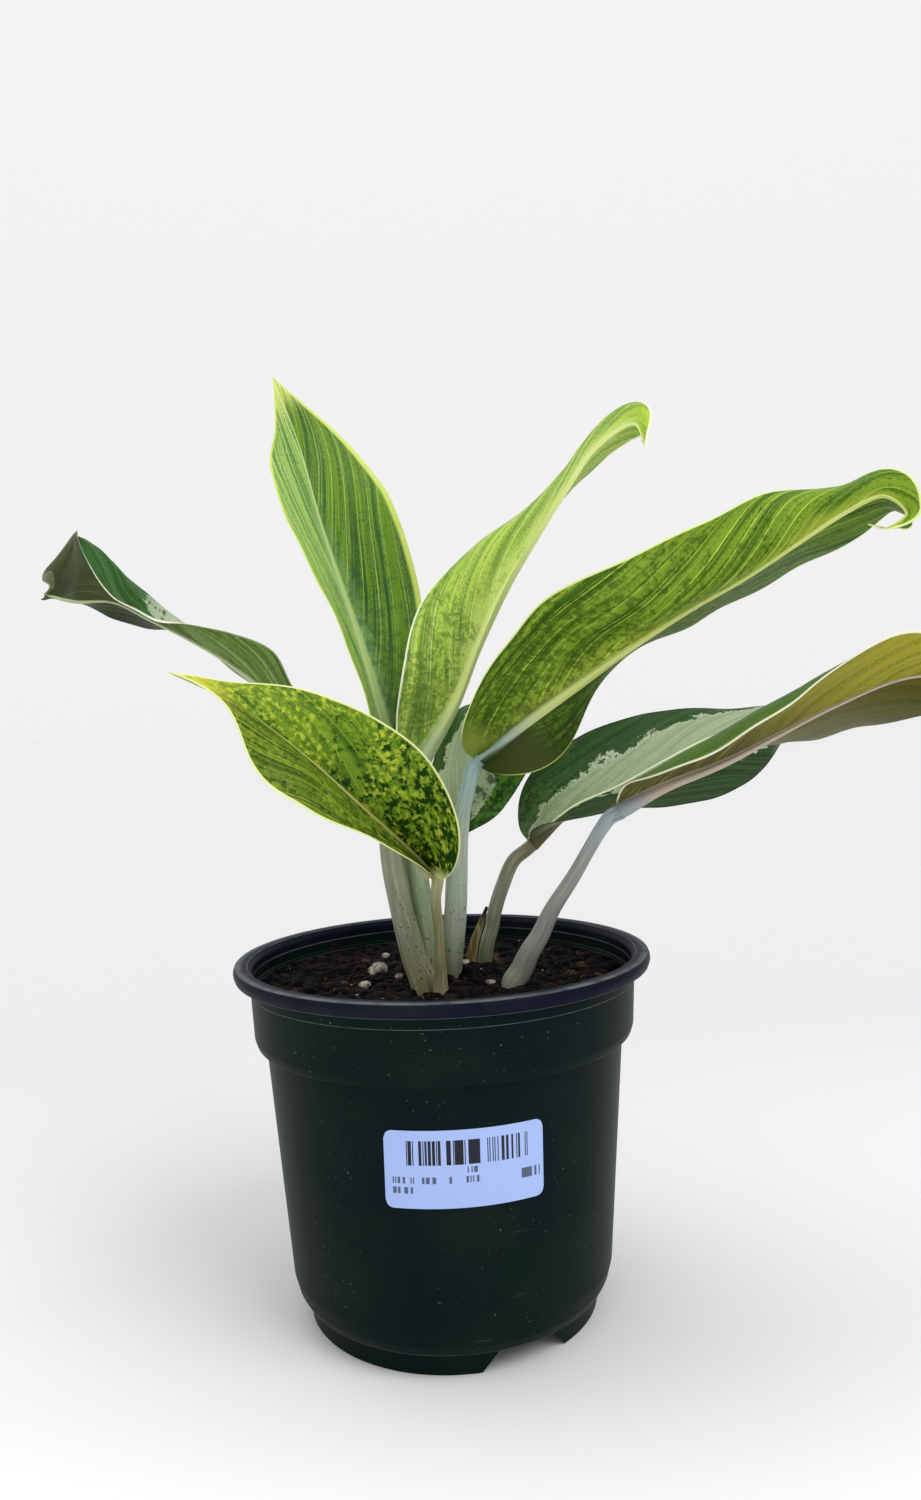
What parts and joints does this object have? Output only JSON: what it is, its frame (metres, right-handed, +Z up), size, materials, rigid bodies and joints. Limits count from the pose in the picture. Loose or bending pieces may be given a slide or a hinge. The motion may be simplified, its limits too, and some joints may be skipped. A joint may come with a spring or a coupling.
{
  "type": "potted foliage plant",
  "caption": "Young aroid foliage plant with broad variegated arching leaves on pale stalks, growing in soil in a round dark green nursery pot with a rolled rim and a blank barcode label.",
  "frame": {"origin": "on the floor under the middle of the pot", "axes": "+Z up, -Y towards the side of the pot that carries the label"},
  "size_m": [0.3389, 0.1787, 0.3802],
  "materials": {
    "pot": "injection-moulded dark green-black polypropylene, semi-gloss, dusty",
    "label": "coated bluish-white paper label with a printed bar pattern",
    "soil": "damp dark peat and bark potting mix",
    "perlite": "rough pale grey expanded mineral grains",
    "stalk": "smooth pale grey-green fleshy leaf stalk",
    "blade": "smooth waxy leaf, variegated mid green, dark green, silver and yellow-green with a cream margin",
    "husk": "dry brown papery sheath"
  },
  "bodies": {
    "root": {"pot": "pot", "label": "label", "soil": "soil", "perlite_1": "perlite", "perlite_2": "perlite", "perlite_3": "perlite", "perlite_4": "perlite", "perlite_5": "perlite", "perlite_6": "perlite", "perlite_7": "perlite", "perlite_8": "perlite", "perlite_9": "perlite", "stalk_1": "stalk", "stalk_2": "stalk", "stalk_3": "stalk", "stalk_4": "stalk", "stalk_5": "stalk", "stalk_6": "stalk", "stalk_7": "stalk", "stalk_8": "stalk", "blade_1": "blade", "blade_2": "blade", "blade_3": "blade", "blade_4": "blade", "blade_5": "blade", "blade_6": "blade", "blade_7": "blade", "blade_8": "blade", "old_sheath": "husk"}
  },
  "joints": []
}
